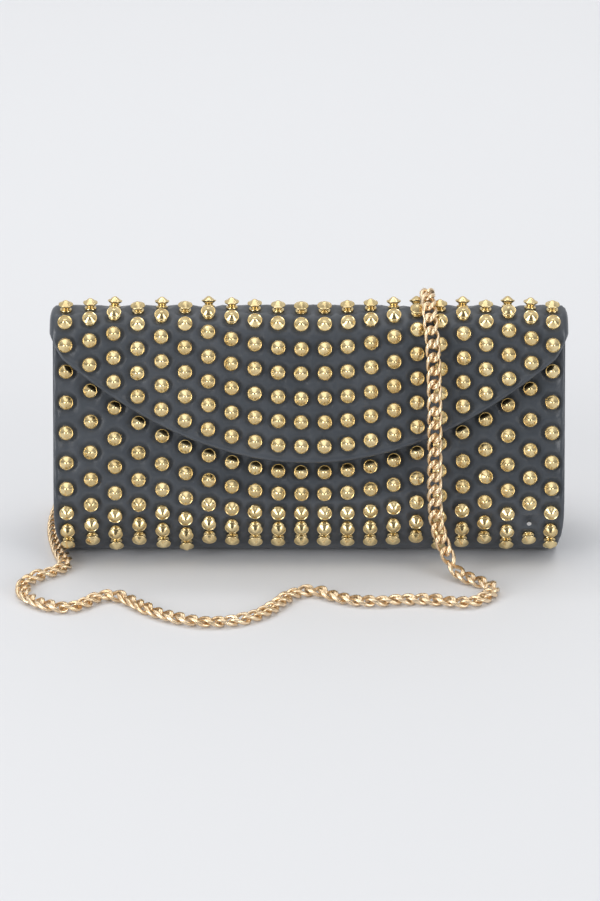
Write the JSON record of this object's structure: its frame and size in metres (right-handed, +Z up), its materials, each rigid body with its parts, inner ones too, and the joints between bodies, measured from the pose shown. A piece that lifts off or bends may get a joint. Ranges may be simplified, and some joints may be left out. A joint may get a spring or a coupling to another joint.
{
  "type": "chain wallet",
  "caption": "Clutch-sized studded leather wallet with a wrap-over flap, zip pocket, card slots, magnetic snap and a long curb chain on two D-rings.",
  "frame": {"origin": "middle of the flat base, on the surface the wallet stands on", "axes": "+X along the wallet to the right as seen from the front, +Y to the back, +Z up"},
  "size_m": [0.2805, 0.2029, 0.1437],
  "materials": {
    "leather": "satin dark charcoal-navy leather, fine grain",
    "lining": "matt black woven lining",
    "board": "grey-brown stiffening board",
    "stud": "polished yellow-gold plated",
    "chain": "polished light-gold plated",
    "nickel": "bright nickel",
    "zip_tape": "matt black woven tape",
    "zip_metal": "polished gold-plated"
  },
  "bodies": {
    "body": {"body_leather": "leather", "front_board": "board", "base_board": "board", "back_board": "board", "body_lining": "lining", "left_gusset": "leather", "right_gusset": "leather", "body_studs": "stud", "bare_stud_post": "nickel", "pocket_front_wall": "leather", "pocket_back_wall": "leather", "zip_tape_front": "zip_tape", "zip_tape_back": "zip_tape", "zip_teeth": "zip_metal", "zip_end_stops": "zip_metal", "card_panel": "leather", "slip_panel": "leather", "card_slot_1": "leather", "card_slot_2": "leather", "card_slot_3": "leather", "snap_socket": "zip_metal", "snap_backplate": "nickel", "left_ring_tab": "leather", "right_ring_tab": "leather", "left_tab_rivet": "chain", "right_tab_rivet": "chain", "chain_front": "chain", "chain_drape": "chain", "chain_back": "chain"},
    "flap": {"flap_leather": "leather", "flap_board": "board", "flap_lining": "lining", "flap_studs": "stud", "snap_plug": "zip_metal"},
    "slider": {"zip_slider": "zip_metal"},
    "puller": {"zip_puller": "zip_metal"},
    "left_ring": {"left_ring": "chain"},
    "right_ring": {"right_ring": "chain"}
  },
  "joints": [
    {"name": "flap_hinge", "type": "hinge", "parent": "body", "child": "flap", "pos_m": [0, 0.01219, 0.1122], "axis": [-1, 0, 0], "range_deg": [0, 115], "deforming": ["chain_drape"]},
    {"name": "zip_slide", "type": "slide", "parent": "body", "child": "slider", "axis": [1, 0, 0], "range_m": [0, 0.162]},
    {"name": "puller_swing", "type": "hinge", "parent": "slider", "child": "puller", "pos_m": [-0.084, 0, 0.10025], "axis": [0, 1, 0], "range_deg": [0, 180]},
    {"name": "left_ring_swing", "type": "hinge", "parent": "body", "child": "left_ring", "pos_m": [-0.118, 0.02289, 0.10109], "axis": [1, 0, 0], "range_deg": [0, 120]},
    {"name": "right_ring_swing", "type": "hinge", "parent": "body", "child": "right_ring", "pos_m": [0.118, 0.02289, 0.10109], "axis": [1, 0, 0], "range_deg": [0, 120]}
  ]
}
